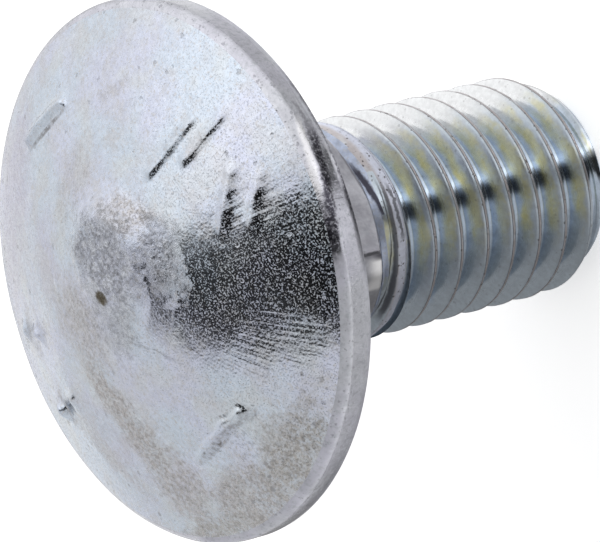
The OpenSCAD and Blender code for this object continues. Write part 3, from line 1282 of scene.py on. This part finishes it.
@dataclass(frozen=True)
class ThreadZinc(Finish):
    """The thread's plate: blue at the root, straw up the flanks and worn on the crests, with a
    painted highlight tone on its lit side and painted shade at the lead-in.
    """

    root_radius: float = 4.05
    crest_radius: float = 4.93
    root: Colour = (0.52, 0.61, 0.73)
    flank: Colour = (0.56, 0.63, 0.70)
    straw: Colour = (0.62, 0.62, 0.45)
    # Lighter, untinted tone painted on the side of the thread where its highlight falls.
    painted_highlight_tone: Colour = (0.68, 0.69, 0.70)
    crest: Colour = (0.50, 0.47, 0.48)
    first_crest: Colour = (0.60, 0.625, 0.72)
    grit: Colour = (0.12, 0.11, 0.11)
    # Near-black colour of the painted shade at the lead-in.
    lead_in_painted_shade: Colour = (0.09, 0.09, 0.1)
    filming: Clouding = Clouding(0.9, 4.0, 0.7, 0.38, 0.56, least=0.4)
    film_start: Point = (18.0, 46.0)
    # Azimuths over which the painted highlight tone comes in.
    film_end: Point = (128.0, 108.0)
    painted_highlight_start: Point = (98.0, 124.0)
    flank_rise: Point = (0.05, 0.35)
    straw_rise: Point = (0.3, 0.52)
    straw_fall: Point = (0.95, 0.72)
    edge_rise: Point = (0.93, 0.975)
    crest_rise: Point = (0.984, 0.999)
    rise_wander: float = 0.9
    turn_wander: float = 30.0
    pits: Speckle = Speckle(0.2, 0.9)
    specks: Speckle = Speckle(0.22, 0.3)
    roughening: tuple[float, float, float, float] = (0.3, 0.62, 0.12, 0.3)
    mottle_shade: float = 0.2
    pit_shade: float = 0.85
    grit_shade: float = 0.35
    crest_matt: float = 0.2
    grain_matt: float = 0.03
    rings_out: float = 16.0
    rings_round: float = 1.8
    roll_height: float = 0.0012
    grain_size: float = 0.09
    grain_height: float = 0.0008
    crest_grain: float = 0.012
    pit_depth: float = 0.02

    def build(self) -> bpy.types.Material:
        """Lay out the material.

        Returns:
            The material.
        """
        material, place = self.open()
        radius = place.level().length()
        rings = (radius * self.rings_out).upright()
        rolled = place.bearing(self.rings_round).shifted(rings).noise(1.0, 2.0, 0.5)
        wander = place.noise(0.55, 3.0, 0.6) - 0.5
        rise = (radius - self.root_radius) / (self.crest_radius - self.root_radius)
        shifted = rise + self.rise_wander * wander
        turn = place.azimuth() + self.turn_wander * wander
        film = turn.step(*self.film_start) * turn.step(*self.film_end) * self.filming.mask(place)
        band = shifted.step(*self.straw_rise) * shifted.step(*self.straw_fall)
        crest = rise.step(*self.crest_rise)
        first, lead_in_painted_shade = self.together(place, FIRST_CREST, LEAD_IN_PAINTED_SHADE)
        grain = self.kit.grain.at(place, Size=self.grain_size)
        pits, grit = (kind.mask(self.kit, place) for kind in (self.pits, self.specks))

        shade = highest(
            self.mottle_shade * (1.0 - grain["Mottle"]),
            self.pit_shade * pits * rise.step(*self.edge_rise), self.grit_shade * grit)
        # The lit side gets the painted highlight tone, and the lead-in its painted shade.
        colour = layered(
            self.root, (shifted.step(*self.flank_rise), self.flank), (film * band, self.straw),
            (turn.step(*self.painted_highlight_start), self.painted_highlight_tone), (crest, self.crest),
            (first, self.first_crest), (shade, self.grit), (lead_in_painted_shade, self.lead_in_painted_shade))
        rough = (rise.step(*self.roughening) + self.crest_matt * highest(crest, first, lead_in_painted_shade)
                 + self.grain_matt * grain["Mottle"])
        height = (self.roll_height * rolled
                  + (self.grain_height + self.crest_grain * crest) * grain["Height"]
                  - self.pit_depth * pits * crest)
        self.metal(colour, rough, height)
        return material


# ---- The whole bolt ----


@dataclass
class CarriageBolt:
    """The whole forged bolt as one closed mesh."""

    head: MushroomHead
    neck: SquareNeck
    shank: ThreadedShank
    dome_edge: float = 11.72
    collar_lap: float = 0.17
    end_margin: float = 0.001

    def shell(self) -> bmesh.types.BMesh:
        """Join the head, neck and shank into one closed shell.

        Returns:
            The shell, in millimetres.
        """
        shape = bmesh.new()
        for part in (self.head, self.neck, self.shank):
            piece = bmesh.new()
            part.build(piece)
            mesh = bpy.data.meshes.new("part")
            piece.to_mesh(mesh)
            shape.from_mesh(mesh)
            bpy.data.meshes.remove(mesh)
            LOG.info("%s: %d faces", type(part).__name__, len(piece.faces))
            piece.free()
        top, end = -self.shank.top(), -self.shank.length
        bmesh.ops.bridge_loops(shape, edges=rim_edges(shape, -NEAR, NEAR))
        bmesh.ops.bridge_loops(
            shape, edges=rim_edges(shape, top - NEAR, -self.neck.end_depth() + NEAR))
        cap = bmesh.ops.edgeloop_fill(shape, edges=rim_edges(shape, end - NEAR, end + NEAR))
        bmesh.ops.recalc_face_normals(shape, faces=shape.faces)
        for face in shape.faces:
            face.smooth = True
        for face in cap["faces"]:
            for edge in face.edges:
                edge.smooth = False
        return shape

    def build(self) -> bpy.types.Object:
        """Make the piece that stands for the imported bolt.

        Returns:
            The dressed object.
        """
        shape = self.shell()
        still_open = sum(edge.is_boundary for edge in shape.edges)
        bolt = as_object("forged_bolt", shape)
        self.dress(bolt.data)
        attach(bolt, BODY)
        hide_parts(NODE)
        bolt.data.calc_loop_triangles()
        LOG.info("%s: %d triangles, %d open edges", bolt.name, len(bolt.data.loop_triangles),
                 still_open)
        return bolt

    def dress(self, mesh: bpy.types.Mesh) -> None:
        """Give each area of the bolt its finish.

        Args:
            mesh: The bolt's mesh, in metres.
        """
        kit = EffectKit()
        for finish in (StruckZinc("struck_zinc", kit), SmoothZinc("smooth_zinc", kit),
                       ThreadZinc("thread_zinc", kit)):
            mesh.materials.append(finish.build())
            LOG.info("%s: laid out", finish.name)
        thread_top = self.collar_lap - self.shank.groove_start()
        thread_end = self.end_margin - self.shank.length
        for face in mesh.polygons:
            height = face.center.z / MM
            radius = math.hypot(*face.center.xy) / MM
            if height > self.head.rim_foot() and radius < self.dome_edge:
                face.material_index = 0
            elif thread_end < height < thread_top:
                face.material_index = 2
            else:
                face.material_index = 1


# ---- Studio ----


@dataclass(frozen=True)
class LightPatch:
    """A soft-edged area of the studio's surroundings, as it shows in the metal."""

    azimuth: float
    elevation: float
    half_width: float
    half_height: float
    level: float
    side_soft: float = 0.35
    end_soft: float = 0.15
    offset: float = 0.0

    def mask(self, direction: Value) -> Value:
        """Lay out the patch's mask.

        Args:
            direction: The direction looked in.

        Returns:
            A mask of 1 in the patch and 0 outside it.
        """
        middle = toward(self.azimuth, self.elevation)
        across = on_circle(1.0, self.azimuth + 90.0)
        ways = (middle, across, middle.cross(across))
        out, side, up = (direction.dot(tuple(way)) for way in ways)
        side = side - math.sin(math.radians(self.offset))
        side = side / math.sin(math.radians(self.half_width))
        lift = direction.sheet.math("ARCTAN2", up, out) / math.radians(self.half_height)
        return (abs(side).step(1 - self.side_soft, 1 + self.side_soft, 1.0, 0.0)
                * abs(lift).step(1 - self.end_soft, 1 + self.end_soft, 1.0, 0.0))


@dataclass(frozen=True)
class Shade:
    """One tone of a reflector ring, from one azimuth to another."""

    start: float
    end: float
    level: float
    soft: float

    def mask(self, turn: Value) -> Value:
        """Lay out the tone's mask.

        Args:
            turn: The azimuth, in degrees.

        Returns:
            A mask of 1 in the tone and 0 outside it.
        """
        middle, half = (self.start + self.end) / 2, (self.end - self.start) / 2
        off = turn.sheet.math("WRAP", turn - middle, 180.0, -180.0)
        return abs(off).step(half + self.soft, half - self.soft)


@dataclass(frozen=True)
class ReflectorRing:
    """A card bent round the bolt that only shows in its metal, like a product tent."""

    name: str
    outline: tuple[Point, ...]
    level: float
    shades: tuple[Shade, ...]
    columns: int = 120

    def build(self) -> bpy.types.Object:
        """Bend the card and set it round the bolt.

        Returns:
            The card.
        """
        shape = bmesh.new()
        lathe(shape, list(self.outline), self.columns)
        ring = as_object(self.name, shape)
        ring.data.materials.append(self.material())
        for ray in ("camera", "diffuse", "shadow", "transmission", "volume_scatter"):
            setattr(ring, f"visible_{ray}", False)
        LOG.info("%s: %d tones", self.name, len(self.shades))
        return ring

    def material(self) -> bpy.types.Material:
        """Lay out the card's tones.

        Returns:
            The material.
        """
        material, sheet = open_material(self.name)
        turn = sheet.node("ShaderNodeTexCoord")["Object"].azimuth()
        light = lit(self.level, ((shade.mask(turn), shade.level) for shade in self.shades))
        tone = sheet.node("ShaderNodeEmission", {"Color": WHITE, "Strength": light})
        sheet.node("ShaderNodeOutputMaterial", {"Surface": tone[0]})
        return material


ROOM = (
    LightPatch(58.0, 67.0, 12.0, 54.0, 0.035, side_soft=0.16, end_soft=0.16, offset=-5.8),
    LightPatch(58.0, 23.0, 13.0, 13.0, 0.01, side_soft=0.12, end_soft=0.3, offset=-4.2),
    LightPatch(58.0, 84.0, 11.4, 11.0, 0.01, side_soft=0.15, end_soft=0.3, offset=-4.4),
    LightPatch(80.0, 10.0, 4.0, 26.0, 1.8, side_soft=0.4),
    LightPatch(176.0, 53.0, 17.0, 20.0, 1.4, side_soft=0.7, end_soft=0.62),
)

RINGS = (
    ReflectorRing(
        "shank_tent",
        ((3.0, -19.95), (14.0, -19.95), (14.0, -1.8), (12.4, -0.9), (12.02, -0.05)), 0.66,
        (Shade(119.0, 150.0, 1.08, 6.0), Shade(148.0, 250.0, 1.42, 4.0),
         Shade(250.0, 320.0, 0.34, 6.0), Shade(320.0, 371.0, 0.28, 6.0),
         Shade(5.0, 25.0, 0.42, 8.0), Shade(86.0, 120.0, 0.86, 3.0),
         Shade(72.0, 88.0, 1.2, 2.0), Shade(73.5, 79.5, 1.8, 2.0),
         Shade(52.5, 70.5, 0.03, 4.0))),
    ReflectorRing(
        "floor_ring", ((20.0, -19.95), (75.0, -19.95)), 0.64,
        (Shade(150.0, 205.0, 0.85, 10.0), Shade(47.0, 75.0, 0.9, 3.0),
         Shade(75.0, 93.0, 0.1, 3.0))),
)


@dataclass
class Studio:
    """The floor, the soft light all round and the camera."""

    floor_level: float
    camera_azimuth: float = 61.69
    camera_elevation: float = 37.45
    camera_roll: float = 104.10
    camera_distance: float = 522.2
    target: tuple[float, float, float] = (2.4153, 1.7111, -3.4622)
    lens: float = 720.0
    clip: Point = (0.01, 10.0)
    floor_size: float = 3000.0
    floor_paper: tuple[float, ...] = (0.9, 0.9, 0.9, 1.0)
    floor_glow: float = 0.45
    floor_mirrored: float = 0.6
    bright_azimuth: float = 152.0
    bright_spread: Point = (-0.15, 0.85)
    bright_level: float = 1.22
    dim_level: float = 0.84
    patches: tuple[LightPatch, ...] = ROOM
    rings: tuple[ReflectorRing, ...] = RINGS

    def camera(self) -> bpy.types.Object:
        """Set the camera at the bolt, seen from over its head.

        Returns:
            The camera.
        """
        back = toward(self.camera_azimuth, self.camera_elevation)
        level = Vector((0, 0, 1)).cross(back).normalized()
        right = Matrix.Rotation(math.radians(-self.camera_roll), 3, back) @ level
        turned = Matrix((right, back.cross(right), back)).transposed().to_4x4()
        spot = (Vector(self.target) + back * self.camera_distance) * MM
        data = bpy.data.cameras.new("camera")
        data.lens = self.lens
        data.clip_start, data.clip_end = self.clip
        camera = bpy.data.objects.new("camera", data)
        bpy.context.scene.collection.objects.link(camera)
        camera.matrix_world = Matrix.Translation(spot) @ turned
        bpy.context.scene.camera = camera
        return camera

    def floor(self) -> bpy.types.Object:
        """Lay the pale floor that the bolt stands on.

        Returns:
            The floor.
        """
        shape = bmesh.new()
        bmesh.ops.create_grid(shape, x_segments=1, y_segments=1, size=self.floor_size / 2)
        bmesh.ops.translate(shape, verts=shape.verts, vec=(0, 0, self.floor_level))
        floor = as_object("floor", shape)
        floor.data.materials.append(self.floor_material())
        return floor

    def floor_material(self) -> bpy.types.Material:
        """Lay out the floor's pale paper, which keeps the bolt's shadow.

        Returns:
            The material.
        """
        material, sheet = open_material("pale_floor")
        matt = sheet.node("ShaderNodeBsdfDiffuse", {"Color": self.floor_paper})
        path = sheet.node("ShaderNodeLightPath")
        seen = highest(path["Is Camera Ray"], path["Is Transmission Ray"],
                       path["Is Glossy Ray"] * self.floor_mirrored)
        white = sheet.node(
            "ShaderNodeEmission", {"Color": WHITE, "Strength": seen * self.floor_glow})
        both = sheet.node("ShaderNodeAddShader", {0: matt[0], 1: white[0]})
        sheet.node("ShaderNodeOutputMaterial", {"Surface": both[0]})
        return material

    def world(self) -> bpy.types.World:
        """Lay out the soft light all round.

        Returns:
            The world.
        """
        world = bpy.data.worlds.new("soft_studio")
        world.use_nodes = True
        world.node_tree.nodes.clear()
        sheet = Sheet(world.node_tree)
        direction = sheet.node("ShaderNodeTexCoord")["Generated"]
        sideways = direction.dot(tuple(on_circle(1.0, self.bright_azimuth)))
        around = sideways.step(*self.bright_spread, self.dim_level, self.bright_level)
        light = lit(around, ((patch.mask(direction), patch.level) for patch in self.patches))
        seen = sheet.node("ShaderNodeLightPath")["Is Camera Ray"]
        back = sheet.node(
            "ShaderNodeBackground", {"Color": WHITE, "Strength": light * (1.0 - seen) + seen})
        sheet.node("ShaderNodeOutputWorld", {"Surface": back[0]})
        bpy.context.scene.world = world
        return world

    def build(self) -> None:
        """Set up the floor, the light and the camera."""
        self.floor()
        for ring in self.rings:
            ring.build()
        self.world()
        self.camera()
        bpy.context.scene.view_settings.view_transform = "Standard"
        LOG.info("studio: floor, soft light and camera")


def main() -> None:
    """Build the bolt and its studio, and report each piece."""
    logging.basicConfig(level=logging.INFO, format="%(name)s: %(message)s")
    low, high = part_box(NODE)
    neck = SquareNeck()
    shank = ThreadedShank(
        length=-low.z / MM, collar_radius=neck.collar_radius, neck_end=neck.end_depth())
    head = MushroomHead(radius=high.x / MM, height=high.z / MM)
    CarriageBolt(head, neck, shank).build()
    Studio(floor_level=low.z / MM).build()


if __name__ == "__main__":
    main()
